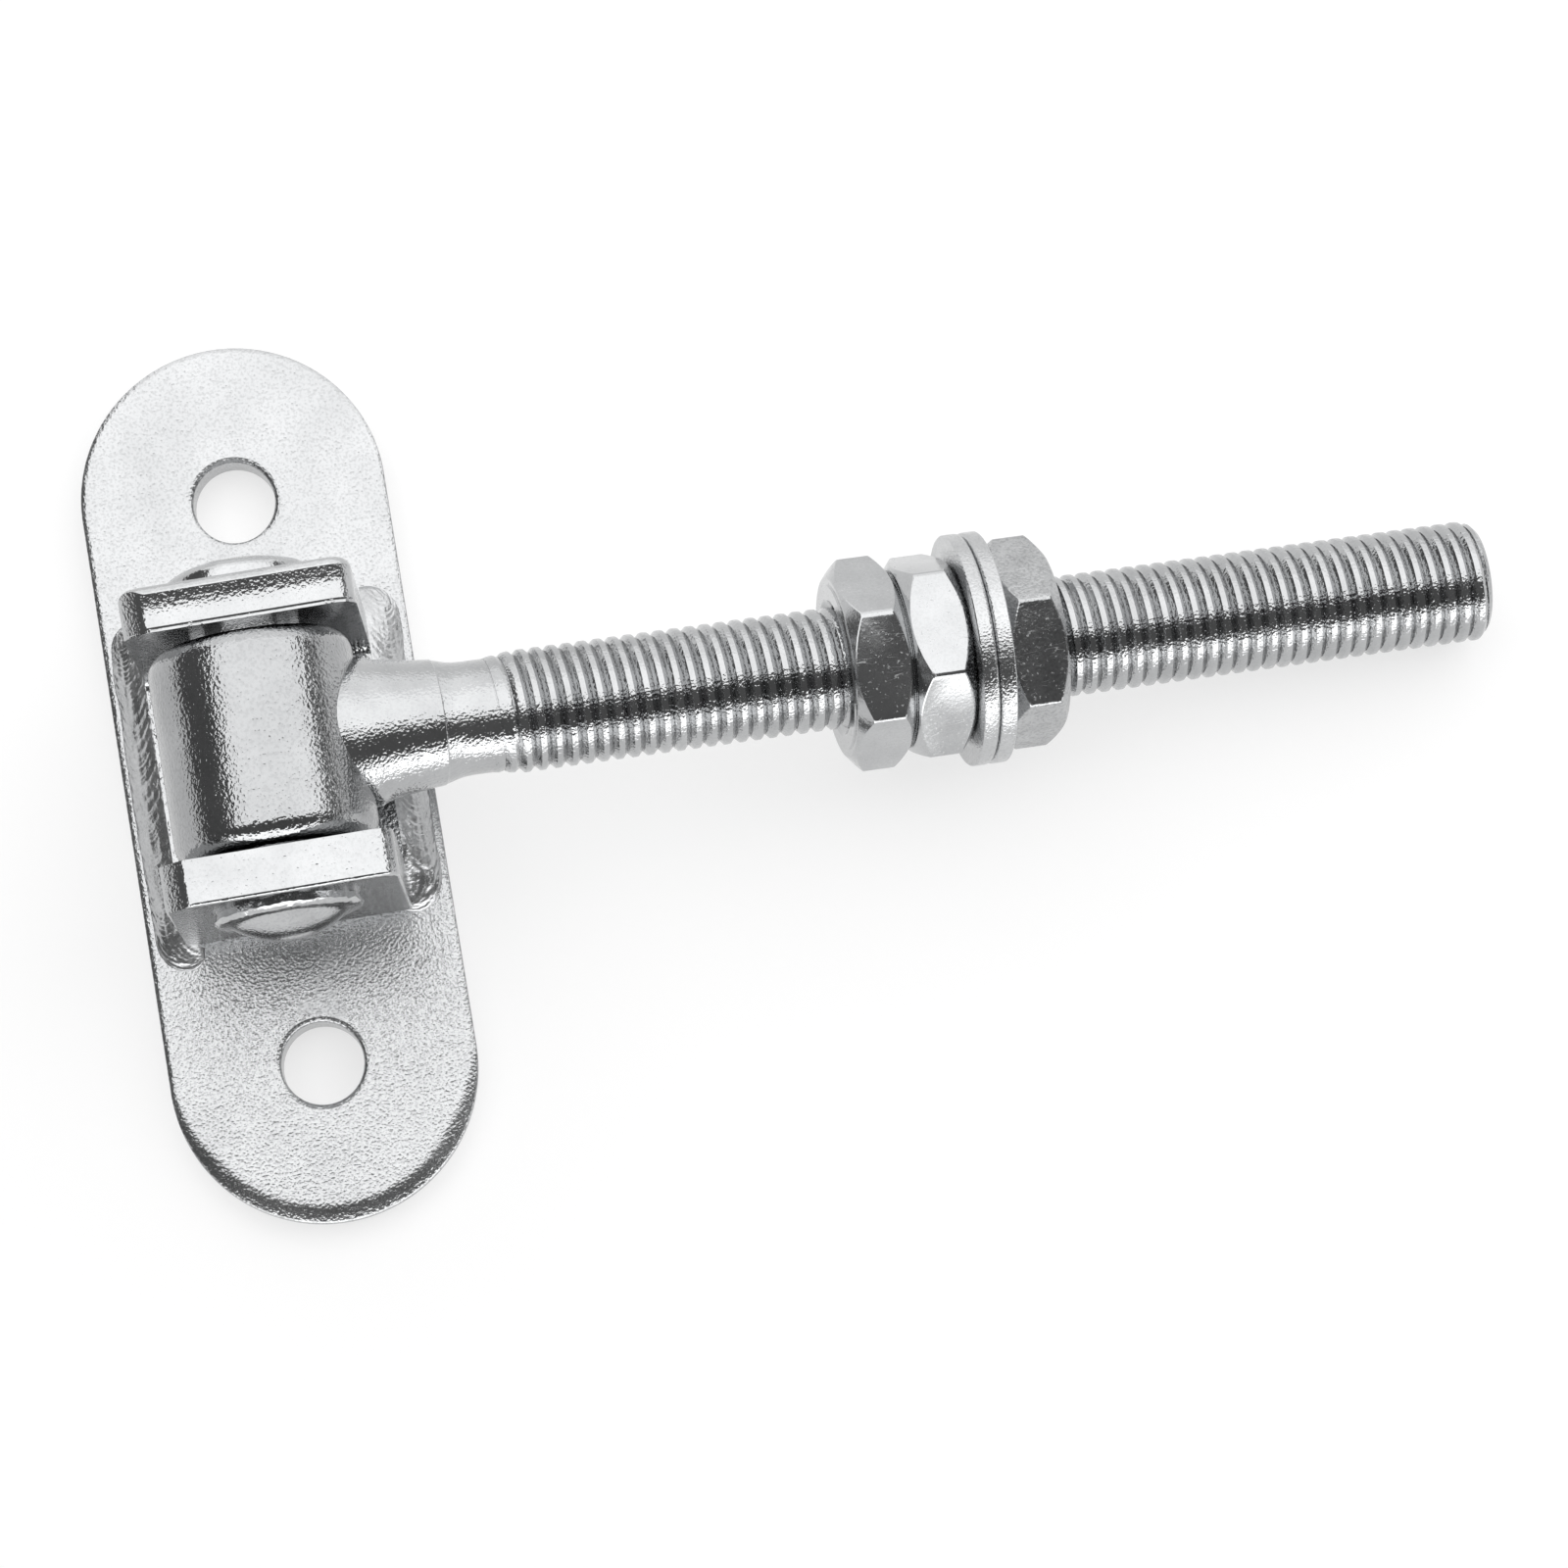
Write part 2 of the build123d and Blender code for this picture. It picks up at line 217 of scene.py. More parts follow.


# grain, wave and cloud sizes and depths in mm; the hollow shade is how much painted shade darkens the
# grain's hollows
zincTones = {
    "plate": {
        "colours": ("#b2b3b4", "#c0c1c2"), "rough": (0.20, 0.28), "hollowShade": 0.13, "cloudMm": 9,
        "grainMm": 0.39, "grainDeep": 0.097, "waveMm": 1.6, "waveDeep": 0.01,
    },
    "clevis": {
        "colours": ("#b0b1b2", "#bfc0c1"), "rough": (0.10, 0.16), "hollowShade": 0.05, "cloudMm": 7,
        "grainMm": 0.40, "grainDeep": 0.070, "waveMm": 1.6, "waveDeep": 0.02,
    },
    "barrel": {
        "colours": ("#9e9fa0", "#abacad"), "rough": (0.10, 0.15), "hollowShade": 0.10, "cloudMm": 8,
        "grainMm": 0.46, "grainDeep": 0.095, "waveMm": 1.8, "waveDeep": 0.01,
    },
    "stud": {
        "colours": ("#aaabac", "#b8b9ba"), "rough": (0.08, 0.13), "hollowShade": 0.04, "cloudMm": 6,
        "grainMm": 0.38, "grainDeep": 0.085, "waveMm": 2.0, "waveDeep": 0.01,
    },
    "nut": {
        "colours": ("#b2b3b4", "#bdbebf"), "rough": (0.12, 0.18), "hollowShade": 0.05, "cloudMm": 6,
        "grainMm": 0.40, "grainDeep": 0.010, "waveMm": 2.4, "waveDeep": 0.006, "scuffs": 0.34,
    },
    "wornNut": {
        "colours": ("#a8a9aa", "#b8b9ba"), "rough": (0.14, 0.22), "hollowShade": 0.20, "cloudMm": 3,
        "grainMm": 0.42, "grainDeep": 0.050, "waveMm": 1.6, "waveDeep": 0.008, "scuffs": 0.34,
    },
    "washer": {
        "colours": ("#b6b7b8", "#c4c5c6"), "rough": (0.16, 0.22), "hollowShade": 0.10, "cloudMm": 6,
        "grainMm": 0.32, "grainDeep": 0.095, "waveMm": 1.4, "waveDeep": 0.01,
    },
    "weld": {
        "colours": ("#b0b1b2", "#c6c7c8"), "rough": (0.24, 0.33), "hollowShade": 0.12, "cloudMm": 3,
        "grainMm": 0.40, "grainDeep": 0.050, "waveMm": 1.2, "waveDeep": 0.03,
    },
    "pin": {
        "colours": ("#b0b1b2", "#bebfc0"), "rough": (0.13, 0.18), "hollowShade": 0.08, "cloudMm": 4,
        "grainMm": 0.40, "grainDeep": 0.038, "waveMm": 1.4, "waveDeep": 0.02,
    },
}
zinc = {part: zincFinish("bright zinc-plated steel, " + part, tone) for part, tone in zincTones.items()}
for slot in nodes["barrel"].material_slots:
    slot.material = zinc["barrel"]
print("finishes set")


def startPiece():  # nothing of the CAD stays selected
    bpy.ops.object.select_all(action="DESELECT")
    bpy.context.tool_settings.mesh_select_mode = (True, False, False)


def endPiece(name, body, node, finish, smooth):  # edges up to so many degrees are shaded round
    piece = bpy.context.object
    piece.name = piece.data.name = name
    bpy.ops.object.transform_apply(location=True, rotation=True, scale=True)
    bpy.ops.object.mode_set(mode="EDIT")
    bpy.ops.mesh.select_all(action="SELECT")
    bpy.ops.mesh.normals_make_consistent(inside=False)
    bpy.ops.object.mode_set(mode="OBJECT")
    bpy.ops.object.shade_smooth_by_angle(angle=math.radians(smooth))
    piece.data.materials.clear()
    piece.data.materials.append(zinc[finish])
    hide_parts(node)
    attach(piece, body)
    print("made", name, len(piece.data.polygons), "faces")


def pick(piece, kind, wanted):  # selects the vertices or edges whose ends pass, in mm
    bpy.ops.object.mode_set(mode="EDIT")
    bpy.ops.mesh.select_mode(type=kind)
    bpy.ops.mesh.select_all(action="DESELECT")
    bpy.ops.object.mode_set(mode="OBJECT")
    places = [vertex.co / mm for vertex in piece.data.vertices]
    if kind == "VERT":
        for vertex in piece.data.vertices:
            vertex.select = wanted(places[vertex.index])
    else:
        for edge in piece.data.edges:
            edge.select = wanted(*[places[end] for end in edge.vertices])
    bpy.ops.object.mode_set(mode="EDIT")


def turnedRings(profile, around, fill="NGON"):  # rings up the Z axis, each (height, radius) in mm
    startPiece()
    (z0, r0), *rest = profile
    bpy.ops.mesh.primitive_circle_add(vertices=around, radius=r0 * mm, fill_type=fill,
                                      location=(0, 0, z0 * mm))
    bpy.ops.object.transform_apply(location=True)
    bpy.ops.object.mode_set(mode="EDIT")
    for z1, r1 in rest:
        bpy.ops.mesh.extrude_region_move(TRANSFORM_OT_translate={"value": (0, 0, (z1 - z0) * mm)})
        bpy.ops.transform.resize(value=(r1 / r0, r1 / r0, 1), center_override=(0, 0, z1 * mm))
        z0, r0 = z1, r1
    bpy.ops.object.mode_set(mode="OBJECT")
    return bpy.context.object


def drawnLine(points):  # drawn a point at a time, in mm, and left in edit mode
    startPiece()
    bpy.ops.mesh.primitive_plane_add(size=mm)
    bpy.ops.object.mode_set(mode="EDIT")
    bpy.ops.mesh.merge(type="CENTER")
    x0, y0, z0 = points[0]
    bpy.ops.transform.translate(value=(x0 * mm, y0 * mm, z0 * mm))
    for x1, y1, z1 in points[1:]:
        step = ((x1 - x0) * mm, (y1 - y0) * mm, (z1 - z0) * mm)
        bpy.ops.mesh.extrude_vertices_move(TRANSFORM_OT_translate={"value": step})
        x0, y0, z0 = x1, y1, z1
    return bpy.context.object


def cutWith(piece, tool, operation):  # boolean, then the tool goes
    startPiece()
    piece.select_set(True)
    bpy.context.view_layer.objects.active = piece
    cut = piece.modifiers.new("cut", "BOOLEAN")
    cut.operation = operation
    cut.object = tool
    cut.solver = "EXACT"
    bpy.ops.object.modifier_apply(modifier="cut")
    bpy.data.objects.remove(tool, do_unlink=True)


def breakEdges(piece, width, segments, fromAngle):  # a bevel in mm on edges that turn by so many degrees
    edges = piece.modifiers.new("edges", "BEVEL")
    edges.width = width * mm
    edges.segments = segments
    edges.limit_method = "ANGLE"
    edges.angle_limit = math.radians(fromAngle)
    bpy.ops.object.modifier_apply(modifier="edges")


def stir(a, b, c):  # smooth noise, about -1 to 1
    return noise.noise(Vector((a, b, c)))


# mounting plate: blanked strip with round ends, its front edge drawn over by the die and the holes' edges
# by the punch
plate = {
    "width": 40.0, "length": 116.57, "thick": 5.0, "around": 192,
    # the front edge from the side wall inward: in, up in mm; the last step is flat
    "roll": [(0.04, 0.50), (0.08, 0.20), (0.15, 0.14), (0.45, 0.27), (0.55, 0.26), (0.50, 0.17),
             (0.40, 0.09), (0.30, 0.03), (0.60, 0)],
    "sideRoll": 0.35,  # share of the roll at the sides and the upper end
    "rollGrows": 10.0,  # mm round the lower end until the roll is whole
    # the steel broke away at the back, below this height, which is smaller all round
    "taper": 0.45, "back": 0.1,
    "holes": (-37.5, 37.5), "holeAround": 96,
    # the punch: height, radius in mm
    "punch": [(-1.0, 5.34), (4.35, 5.34), (4.55, 5.39), (4.70, 5.48), (4.82, 5.62), (4.91, 5.78),
              (5.0, 6.06), (5.2, 6.7)],
    "smooth": 10,
}


def makePlate():
    radius, straight = plate["width"] / 2, (plate["length"] - plate["width"]) / 2
    startPiece()
    bpy.ops.mesh.primitive_circle_add(vertices=plate["around"], radius=radius * mm, fill_type="NGON",
                                      rotation=(0, 0, math.pi / plate["around"]))
    bpy.ops.object.transform_apply(rotation=True)
    piece = bpy.context.object
    for side in (-1, 1):
        pick(piece, "VERT", lambda place: place.y * side > 0)
        bpy.ops.transform.translate(value=(0, side * straight * mm, 0))
    bpy.ops.mesh.select_all(action="SELECT")
    wall = plate["thick"] - sum(up for inward, up in plate["roll"])
    bpy.ops.mesh.extrude_region_move(TRANSFORM_OT_translate={"value": (0, 0, wall * mm)})
    for inward, up in plate["roll"]:
        bpy.ops.mesh.inset(thickness=inward * mm, depth=0)
        bpy.ops.transform.translate(value=(0, 0, up * mm))
    bpy.ops.mesh.select_all(action="SELECT")
    bpy.ops.mesh.normals_make_consistent(inside=False)
    bpy.ops.object.mode_set(mode="OBJECT")
    for vertex in piece.data.vertices:
        x, y, z = vertex.co / mm
        middle = min(max(y, -straight), straight)
        out = math.hypot(x, y - middle)
        grown = min(max((-y - straight) / plate["rollGrows"], 0), 1)
        share = plate["sideRoll"] + (1 - plate["sideRoll"]) * grown
        if z < plate["back"]:
            keep = radius - plate["taper"]
        else:
            keep = radius - (radius - out) * share
            vertex.co.z = (plate["thick"] - (plate["thick"] - z) * share) * mm
        vertex.co.x = x * keep / out * mm
        vertex.co.y = (middle + (y - middle) * keep / out) * mm
    for y in plate["holes"]:
        punch = turnedRings(plate["punch"], plate["holeAround"])
        punch.location.y = y * mm
        cutWith(piece, punch, "DIFFERENCE")
    endPiece("mountingPlate", "fixed_leaf", "mounting_plate", "plate", plate["smooth"])


makePlate()


# threaded stud: upset neck with a lip that follows the barrel, then the rolled thread
stud = {
    # mm from the pin's axis, radius in mm
    "neck": [(12.2, 9.66), (13.0, 9.64), (13.8, 9.60), (14.15, 9.52), (14.4, 9.40), (14.6, 9.28),
             (14.8, 9.20), (15.1, 9.10), (15.7, 8.96), (16.5, 8.80), (17.4, 8.65), (18.4, 8.50),
             (19.6, 8.35), (20.6, 8.22), (21.4, 8.14), (22.1, 8.08), (22.32, 8.06), (22.42, 7.96),
             (22.55, 7.91), (23.0, 7.80), (23.5, 7.66), (24.0, 7.51), (24.6, 7.38), (25.3, 7.29),
             (26.2, 7.25), (28.6, 7.25)],
    "around": 144,
    "barrel": 13.0, "saddleUntil": 19.0,  # the neck lies on this radius and is straight from there on
    "pitch": 2.0, "turnSteps": 72,
    # along one pitch, radius: flat crest, sloping flanks, narrow root, in mm
    "thread": [(0.0, 6.95), (0.06, 6.98), (0.09, 7.26), (0.64, 7.81), (0.80, 7.83), (1.0, 7.84),
               (1.20, 7.83), (1.36, 7.81), (1.91, 7.26), (1.94, 6.98), (2.0, 6.95)],
    "threadFrom": 28.4, "runIn": 4.2, "shank": 7.25,
    "tip": 160.28, "tipRadius": 6.75, "tipSlope": 1.0,
    "merge": 0.002, "cut": 0.001,  # mm within which points are taken as one
    "smooth": 35,
}


def makeStud():
    barrel, until = stud["barrel"], stud["saddleUntil"]
    neck = turnedRings(stud["neck"], stud["around"])
    for vertex in neck.data.vertices:  # the first rings lie on the barrel's curve
        x, y, z = vertex.co / mm
        pull = min(max((until - z) / (until - barrel), 0), 1)
        pull = pull * pull * (3 - 2 * pull)
        onBarrel = math.sqrt(max(barrel ** 2 - x * x, 0))
        vertex.co.z = (z - pull * (barrel - onBarrel)) * mm

    # one pitch of the profile, screwed round, then cut off at both ends
    start = stud["threadFrom"] - stud["pitch"]
    thread = drawnLine([(radius, 0, start + along) for along, radius in stud["thread"]])
    bpy.ops.object.mode_set(mode="OBJECT")
    screw = thread.modifiers.new("screw", "SCREW")
    screw.axis = "Z"
    screw.steps = screw.render_steps = stud["turnSteps"]
    turns = math.ceil((stud["tip"] - stud["threadFrom"]) / stud["pitch"])
    screw.iterations = turns + 2  # one over at each end
    screw.screw_offset = stud["pitch"] * mm
    bpy.ops.object.modifier_apply(modifier="screw")
    bpy.ops.object.mode_set(mode="EDIT")
    bpy.ops.mesh.select_all(action="SELECT")
    bpy.ops.mesh.remove_doubles(threshold=stud["merge"] * mm)
    bpy.ops.mesh.bisect(plane_co=(0, 0, stud["threadFrom"] * mm), plane_no=(0, 0, 1), use_fill=True,
                        clear_inner=True, threshold=stud["cut"] * mm)
    bpy.ops.mesh.select_all(action="SELECT")
    bpy.ops.mesh.bisect(plane_co=(0, 0, stud["tip"] * mm), plane_no=(0, 0, 1), use_fill=True,
                        clear_outer=True, threshold=stud["cut"] * mm)
    bpy.ops.object.mode_set(mode="OBJECT")
    for vertex in thread.data.vertices:
        x, y, z = vertex.co / mm
        radius = math.hypot(x, y)
        fade = min(max((z - stud["threadFrom"]) / stud["runIn"], 0), 1)
        wanted = stud["shank"] + (radius - stud["shank"]) * fade  # the first turns are rolled shallow
        wanted = min(wanted, stud["tipRadius"] + (stud["tip"] - z) * stud["tipSlope"])
        vertex.co = (x * wanted / radius * mm, y * wanted / radius * mm, z * mm)
    neck.select_set(True)
    bpy.context.view_layer.objects.active = thread
    bpy.ops.object.join()
    thread.rotation_euler = studTurn
    thread.location = pinCentre
    endPiece("threadedStud", "eye_bolt", "threaded_stud", "stud", stud["smooth"])


makeStud()


# clevis: one strip bent to a U, its ends sheared, so the upper one is rolled over outside and torn at
# a slant below that
clevis = {
    "width": 29.5, "thick": 6.0, "gap": 29.2, "plateFront": 5.0, "front": 43.38,
    "bend": 1.5, "bendSteps": 12, "corner": 3.0, "cornerSteps": 10,
    "upperRoll": 1.5, "lowerRoll": 0.55, "rollSteps": 10,
    "hole": 7.04, "holeAround": 96, "edge": 0.25, "edgeSteps": 2, "edgeFrom": 50,
    "spare": 1.0, "skin": 0.01,  # mm that a tool reaches past the strip, or stays inside its faces
    # from the outer face inward and down from the front, in mm
    "upperEnd": [(0.0, -0.5), (1.1, 0.0), (1.8, 0.20), (2.5, 0.385), (3.0, 0.49), (3.5, 0.56),
                 (4.1, 0.60), (5.4, 0.61), (5.66, 0.71), (5.82, 0.65), (6.0, 0.65)],
    "lowerEnd": [(0.0, 0.01), (6.0, 0.01)],
    # the shear's sloping cut at the ears' left and round corner at their right: in from the side and down
    "leftCorner": [(0.0, 2.95), (0.2, 2.62), (0.4, 2.36), (0.8, 1.95), (1.4, 1.39), (2.0, 0.85),
                   (2.4, 0.52), (2.7, 0.31), (2.95, 0.175), (3.15, 0.095), (3.35, 0.04), (3.6, 0.01),
                   (3.95, 0.0)],
    "rightCorner": [(0.0, 3.0), (0.04, 2.53), (0.15, 2.07), (0.33, 1.64), (0.57, 1.24), (0.88, 0.88),
                    (1.24, 0.57), (1.64, 0.33), (2.07, 0.15), (2.53, 0.04), (3.0, 0.0)],
    # the burr along the upper ear's inner edge: stations, depth, and how far it lies from the inner face
    "burrSteps": 36, "burrDeep": 0.14, "burrZone": (-0.1, 0.5),
    "smooth": 10,
}


def makeClevis():
    front, spare, half = clevis["front"], clevis["spare"], clevis["width"] / 2
    inside = clevis["gap"] / 2
    outside = inside + clevis["thick"]
    web = clevis["plateFront"] + clevis["thick"]
    bend, wide = clevis["bend"], clevis["bend"] + clevis["thick"]

    def arc(y, z, radius, first, last):
        steps = clevis["bendSteps"]
        turns = [math.radians(first + (last - first) * k / steps) for k in range(steps + 1)]
        return [(y + radius * math.cos(turn), z + radius * math.sin(turn)) for turn in turns]

    # the strip's section, seen from the side
    outline = [(outside - inward, front - down) for inward, down in clevis["upperEnd"]]
    outline += arc(inside - bend, web + bend, bend, 0, -90)
    outline += arc(bend - inside, web + bend, bend, -90, -180)
    outline += [(inward - outside, front - down) for inward, down in reversed(clevis["lowerEnd"])]
    outline += arc(wide - outside, clevis["plateFront"] + wide, wide, 180, 270)
    outline += arc(outside - wide, clevis["plateFront"] + wide, wide, 270, 360)

    # stations across the strip, and how far down its ends are cut at each
    stations = [(inward - half, down) for inward, down in clevis["leftCorner"]]
    steps = clevis["burrSteps"]
    first, last = stations[-1][0], half - clevis["rightCorner"][-1][0]
    stations += [(first + (last - first) * k / steps, 0) for k in range(1, steps)]
    stations += [(half - inward, down) for inward, down in reversed(clevis["rightCorner"])]
    stations = [(-half - spare, stations[0][1])] + stations + [(half + spare, stations[-1][1])]

    x0 = stations[0][0]
    piece = drawnLine([(x0, y, z) for y, z in outline])
    bpy.ops.mesh.select_all(action="SELECT")
    bpy.ops.mesh.edge_face_add()
    for x1, down in stations[1:]:
        bpy.ops.mesh.extrude_region_move(TRANSFORM_OT_translate={"value": ((x1 - x0) * mm, 0, 0)})
        x0 = x1
    bpy.ops.mesh.select_all(action="SELECT")
    bpy.ops.mesh.normals_make_consistent(inside=False)
    bpy.ops.object.mode_set(mode="OBJECT")
    burrFrom, burrTo = (inside + past for past in clevis["burrZone"])
    for vertex in piece.data.vertices:
        x, y, z = vertex.co / mm
        if z > front - spare:
            down = min(stations, key=lambda station: abs(station[0] - x))[1]
            if burrFrom < y < burrTo:
                down += clevis["burrDeep"] * stir(x * 1.3, y * 2.0, 1)
            vertex.co.z = (z - down) * mm

    # a block with the ears' rounded corners and rolled edges, kept where the bent strip lies in it
    low, deep = clevis["plateFront"] - spare, outside - clevis["skin"]
    tall = front - low
    bpy.ops.mesh.primitive_cube_add(size=mm, location=(0, 0, (low + tall / 2) * mm),
                                    scale=(clevis["width"], 2 * deep, tall))
    block = bpy.context.object
    bpy.ops.object.transform_apply(location=True, scale=True)
    floorZ, faceY = low + spare, deep - clevis["skin"]
    pick(block, "EDGE", lambda a, b: min(a.z, b.z) > floorZ and abs(a.x - b.x) < spare)
    bpy.ops.mesh.bevel(offset=clevis["corner"] * mm, segments=clevis["cornerSteps"], affect="EDGES")
    for side, roll in ((1, clevis["upperRoll"]), (-1, clevis["lowerRoll"])):
        pick(block, "EDGE", lambda a, b: min(a.y * side, b.y * side) > faceY and max(a.z, b.z) > floorZ)
        bpy.ops.mesh.bevel(offset=roll * mm, segments=clevis["rollSteps"], affect="EDGES")
    bpy.ops.object.mode_set(mode="OBJECT")
    cutWith(piece, block, "INTERSECT")
    startPiece()
    bpy.ops.mesh.primitive_cylinder_add(vertices=clevis["holeAround"], radius=clevis["hole"] * mm,
                                        depth=3 * outside * mm, location=pinCentre,
                                        rotation=(math.pi / 2, 0, 0))
    cutWith(piece, bpy.context.object, "DIFFERENCE")
    breakEdges(piece, clevis["edge"], clevis["edgeSteps"], clevis["edgeFrom"])
    endPiece("clevisBracket", "fixed_leaf", "clevis_bracket", "clevis", clevis["smooth"])


makeClevis()


# weld beads down both sides of the clevis, rippled as the gun moved down, each hooked in round the corner
# at its foot
bead = {
    "stripSide": 14.75, "plateFront": 5.0,
    "sunk": 1.2, "tuck": 0.4,  # mm that it goes below the plate's front and into the strip
    "leg": 4.35, "height": 5.1, "widest": 5.2, "crown": 0.55, "crownOut": 0.76, "crownUp": 0.65,
    "swell": 0.07, "toeWander": 0.32, "toeRagged": 0.20,
    # ripples: length and its spread, depth, how square, how uneven, how far they trail at the middle
    "ripple": 1.4, "rippleSpread": (0.4, 1.7), "rippleDeep": 0.13, "rippleSquare": 0.6,
    "rippleUneven": 1.4, "chevron": 3.2, "marksFrom": -5.0, "marksPast": 9,
    # finer ripples between them, then streaks along the run, then how much of both each patch shows
    "fine": 0.62, "fineDeep": 0.055, "finePatch": 2.4, "fineHead": 7, "fineWander": 0.6,
    "streak": 0.11, "patchLow": 0.65, "patchHigh": 0.9, "endFade": 1.2,
    "step": 0.155, "around": 32, "hook": 2.4, "hookTurn": 80,
    # mm in which the ends grow to full width and height
    "headOut": 4.2, "headRise": 12.0, "footOut": 3.2, "footRise": 7.0,
    "left": {"side": -1, "top": 24.0, "straightTo": -18.2, "seed": 3},
    "right": {"side": 1, "top": 23.6, "straightTo": -15.4, "seed": 8},
    "smooth": 60,
}


def makeBead(name, node, run):
    startPiece()
    draw = random.Random(run["seed"])
    side, top = run["side"], run["top"]
    straight = top - run["straightTo"]
    length = straight + bead["hook"] * math.radians(bead["hookTurn"])
    count, rings = bead["around"], round(length / bead["step"])
    at = bead["marksFrom"]
    marks = [at]  # where each ripple starts
    while at < length + bead["marksPast"]:
        at += bead["ripple"] * draw.uniform(*bead["rippleSpread"])
        marks.append(at)
    bpy.ops.mesh.primitive_circle_add(vertices=count, radius=mm, fill_type="NGON",
                                      rotation=(math.pi / 2, 0, 0))
    piece = bpy.context.object
    bpy.ops.object.transform_apply(rotation=True)
    bpy.ops.object.mode_set(mode="EDIT")
    for ring in range(rings):
        bpy.ops.mesh.extrude_region_move(TRANSFORM_OT_translate={"value": (0, -bead["step"] * mm, 0)})
    bpy.ops.object.mode_set(mode="OBJECT")
    phase = draw.uniform(0, 100)

    def rippled(head, up, mid):  # height of the ripples at so far from the head and up the face
        along = head - bead["chevron"] * mid
        before = max(mark for mark in marks if mark <= along)
        after = min(mark for mark in marks if mark > along)
        arch = math.sin(math.pi * (along - before) / (after - before)) ** bead["rippleSquare"]
        uneven = 1 + bead["rippleUneven"] * stir(before * 1.7, phase, 4)
        deep = bead["rippleDeep"] * (arch - 0.6) * uneven
        patch = bead["finePatch"] * abs(stir(head * 0.3, up * 1.5, phase + 11))
        patch += math.exp(-head / bead["fineHead"])
        wander = bead["fineWander"] * stir(along * 0.8, up * 2, phase)
        deep += bead["fineDeep"] * min(1, patch) * math.sin(2 * math.pi * (along / bead["fine"] + wander))
        deep *= bead["patchLow"] + bead["patchHigh"] * abs(stir(head * 0.2, up * 3, phase + 2))
        deep += bead["streak"] * stir(head * 0.3, up * 9, phase + 5)
        return deep * min(1, mid * 2.5 + 0.2)  # less at the bead's own edges

    for index, vertex in enumerate(piece.data.vertices):
        ring, point = divmod(index, count)
        head = ring / rings * length
        foot = length - head
        swing = max(head - straight, 0) / bead["hook"]  # how far round the corner
        rootX = bead["stripSide"] - bead["hook"] * (1 - math.cos(swing))
        rootY = top - min(head, straight) - bead["hook"] * math.sin(swing)
        swell = 1 + bead["swell"] * stir(head * 0.25, phase, 0)
        short = 1 - min(head / bead["headOut"], foot / bead["footOut"], 1)
        outTaper = math.sqrt(1.02 - short ** 2) * swell
        riseTaper = min(head / bead["headRise"], 1) ** 0.6 * swell
        riseTaper *= min(foot / bead["footRise"], 1) ** 0.75  # runs out flat at its foot
        up = (point - 1) / (count - 2)  # from the toe on the plate to the top on the strip
        mid = 1 - (2 * up - 1) ** 2
        if point == 0:
            out, rise = -bead["tuck"], -bead["sunk"]
        else:
            bulge = bead["crown"] * math.sin(math.pi * up)
            deep = rippled(head, up, mid) * min(1, min(head, foot) / bead["endFade"])
            out = (bead["leg"] * (1 - up) + bulge * bead["crownOut"]) * outTaper + deep * bead["crownOut"]
            rise = (bead["height"] * up + bulge * bead["crownUp"]) * riseTaper + deep * bead["crownUp"]
        if point == 1:
            rise = -bead["sunk"]
            out += bead["toeWander"] * stir(head * 0.5, phase, 7)
            out += bead["toeRagged"] * stir(head * 1.7, phase, 9)
        if point == count - 1:
            out = -bead["tuck"]
        out = min(out, bead["widest"])
        x = rootX + out * math.cos(swing)
        y = rootY - out * math.sin(swing)
        vertex.co = (side * x * mm, y * mm, (bead["plateFront"] + rise) * mm)
    endPiece(name, "fixed_leaf", node, "weld", bead["smooth"])


makeBead("leftWeldBead", "weld_bead_left", bead["left"])
makeBead("rightWeldBead", "weld_bead_right", bead["right"])


# hinge pin: domed upper head, lower head a shallow dome inside a torn burr
pin = {
    "shank": 7.0, "earOutside": 20.6, "around": 96,
    # out from the ear, radius in mm
    "upper": [(0.0, 9.3), (0.5, 9.3), (1.1, 9.27), (1.45, 9.12), (1.75, 8.8), (2.1, 8.1), (2.5, 7.0),
              (2.85, 5.8), (3.15, 4.4), (3.4, 2.8), (3.55, 1.2)],
    "lower": [(0.0, 9.2), (0.45, 9.3), (0.8, 9.42), (1.0, 9.5), (1.2, 9.3), (1.5, 9.0), (1.62, 8.4),
              (1.7, 7.9), (1.78, 7.5), (2.12, 7.0), (2.75, 6.0), (3.26, 5.0), (3.66, 4.0), (3.96, 3.0),
              (4.16, 2.0), (4.29, 1.0)],
    # hammer marks and the burr's torn rim, in mm; the rim's raggedness is a share of its radius
    "upperDent": 0.12, "upperDentFrom": 0.3, "lowerDent": 0.05, "lowerDentFrom": 0.05,
    "burrFrom": 8.3, "burrWide": 1.0, "burrRise": 0.22, "rimFrom": 9.28, "rimRagged": 0.016,
    "seed": 4, "smooth": 35,
}


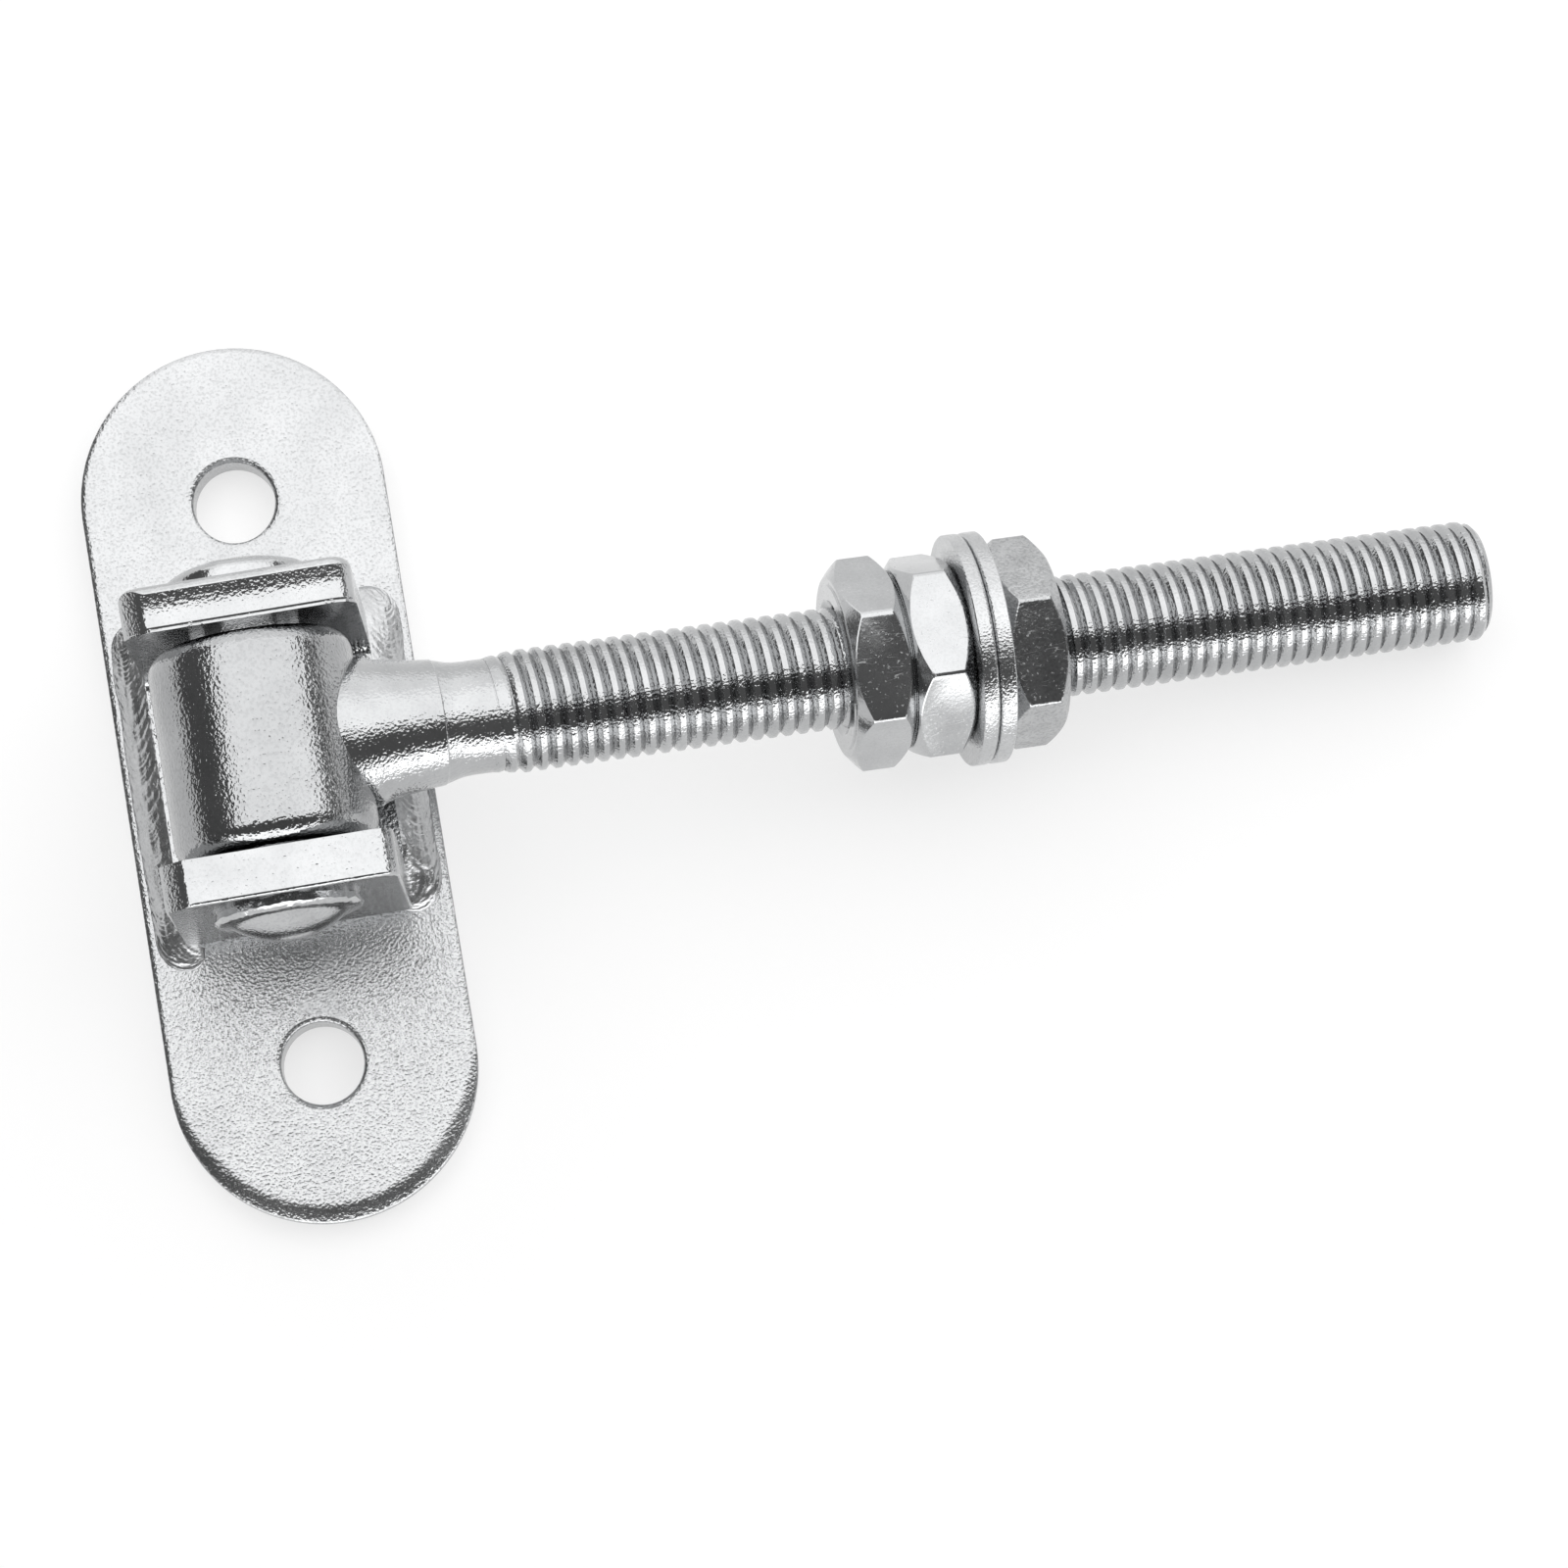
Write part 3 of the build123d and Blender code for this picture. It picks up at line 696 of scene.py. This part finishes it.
def makePin():
    ear = pin["earOutside"]
    low = [(-ear - rise, radius) for rise, radius in reversed(pin["lower"])]
    high = [(ear + rise, radius) for rise, radius in pin["upper"]]
    piece = turnedRings(low + [(-ear, pin["shank"]), (ear, pin["shank"])] + high, pin["around"])
    for vertex in piece.data.vertices:
        x, y, z = vertex.co / mm
        radius = math.hypot(x, y)
        dent = stir(x * 0.35, y * 0.35, z * 0.5 + pin["seed"])
        if z < -ear - pin["lowerDentFrom"]:
            torn = stir(x * 0.9, y * 0.9, 3) + 0.6 * stir(x * 2.1, y * 2.1, 8)
            burr = min(max((radius - pin["burrFrom"]) / pin["burrWide"], 0), 1)
            vertex.co.z += (pin["lowerDent"] * dent * (1 - burr) + pin["burrRise"] * torn * burr) * mm
            if radius > pin["rimFrom"]:
                vertex.co.x *= 1 + pin["rimRagged"] * torn
                vertex.co.y *= 1 + pin["rimRagged"] * torn
        elif z > ear + pin["upperDentFrom"]:
            vertex.co.z += pin["upperDent"] * dent * mm
    piece.rotation_euler = (-math.pi / 2, 0, 0)  # up along the pin
    piece.location = pinCentre
    endPiece("hingePin", "fixed_leaf", "hinge_pin", "pin", pin["smooth"])


makePin()


# nuts: one hexagon, double chamfered and bored, copied to its three places with its edges broken
nut = {
    "flats": 24.0, "thick": 8.0, "faceShare": 0.95, "chamfer": 40.0,
    "seat": 10.8, "seatRise": 0.2,  # a low round seat, so a dark line shows where two nuts meet
    "bore": 7.91, "lead": 0.9, "leadPast": 0.3, "around": 96,
    "corner": 0.5, "cornerSteps": 4, "edge": 0.1, "edgeFrom": 25,
    "hair": 0.001, "spare": 0.01,  # mm that keep the cutter's rings apart and clear of the hexagon
    # body and node, start along the stud in mm, turn in degrees, finish
    "places": {
        "lockNut": ("lock_nut", 74.2, 13.5, "nut"),
        "innerNut": ("inner_nut", 82.2, -8.5, "nut"),
        "outerNut": ("outer_nut", 94.6, 17.5, "wornNut"),
    },
    "smooth": 18,
}


def makeNuts():
    thick, bore, lead, past = nut["thick"], nut["bore"], nut["lead"], nut["leadPast"]
    seat, seatRise, hair = nut["seat"], nut["seatRise"], nut["hair"]
    corner = nut["flats"] / math.sqrt(3)
    face = nut["flats"] / 2 * nut["faceShare"]
    slope = math.tan(math.radians(nut["chamfer"]))
    startPiece()
    bpy.ops.mesh.primitive_cylinder_add(vertices=6, radius=corner * mm, depth=thick * mm,
                                        location=(0, 0, thick / 2 * mm))
    bpy.ops.object.transform_apply(location=True)
    blank = bpy.context.object
    pick(blank, "EDGE", lambda a, b: abs(a.z - b.z) > thick / 2)
    bpy.ops.mesh.bevel(offset=nut["corner"] * mm, segments=nut["cornerSteps"], affect="EDGES")
    bpy.ops.object.mode_set(mode="OBJECT")
    low = [(-hair, seat), (seatRise, seat), (seatRise + hair, face + seatRise / slope),
           ((corner - face) * slope, corner + nut["spare"])]
    high = [(thick - z, radius) for z, radius in reversed(low)]
    cutWith(blank, turnedRings(low + high, nut["around"]), "INTERSECT")
    mouth = bore + lead + past
    drill = [(-past, mouth), (lead, bore), (thick - lead, bore), (thick + past, mouth)]
    cutWith(blank, turnedRings(drill, nut["around"]), "DIFFERENCE")
    breakEdges(blank, nut["edge"], 1, nut["edgeFrom"])
    for name, (node, start, turned, finish) in nut["places"].items():
        startPiece()
        piece = blank.copy()
        piece.data = blank.data.copy()
        bpy.context.scene.collection.objects.link(piece)
        piece.select_set(True)
        bpy.context.view_layer.objects.active = piece
        lay = Matrix.Rotation(studTurn[1], 4, "Y") @ Matrix.Rotation(math.radians(turned), 4, "Z")
        piece.matrix_world = Matrix.Translation(pinCentre + studAlong * start * mm) @ lay
        endPiece(name, node, node, finish, nut["smooth"])
    bpy.data.objects.remove(blank, do_unlink=True)


makeNuts()


# washers: pressed from sheet, so one edge is rolled over and the other sheared
washer = {
    "thick": 2.2, "around": 120,
    # height, radius round the section in mm
    "section": [(0.12, 8.5), (2.08, 8.5), (2.2, 8.62), (2.2, 14.7), (2.16, 14.88), (2.04, 14.98),
                (1.5, 15.0), (0.55, 14.99), (0.3, 14.92), (0.1, 14.72), (0.0, 14.35), (0.0, 8.62)],
    "merge": 0.001,
    # body and node, start along the stud in mm, turned over or not
    "places": {"innerWasher": ("inner_washer", 90.2, True), "outerWasher": ("outer_washer", 92.4, False)},
    "smooth": 35,
}


def makeWashers():
    section = washer["section"]
    for name, (node, start, over) in washer["places"].items():
        piece = turnedRings(section + section[:1], washer["around"], "NOTHING")
        bpy.ops.object.mode_set(mode="EDIT")
        bpy.ops.mesh.select_all(action="SELECT")
        bpy.ops.mesh.remove_doubles(threshold=washer["merge"] * mm)
        bpy.ops.object.mode_set(mode="OBJECT")
        lay = Matrix.Rotation(studTurn[1], 4, "Y")
        if over:
            lay = lay @ Matrix.Translation((0, 0, washer["thick"] * mm))
            lay = lay @ Matrix.Rotation(math.pi, 4, "X")
        piece.matrix_world = Matrix.Translation(pinCentre + studAlong * start * mm) @ lay
        endPiece(name, node, node, "washer", washer["smooth"])


makeWashers()
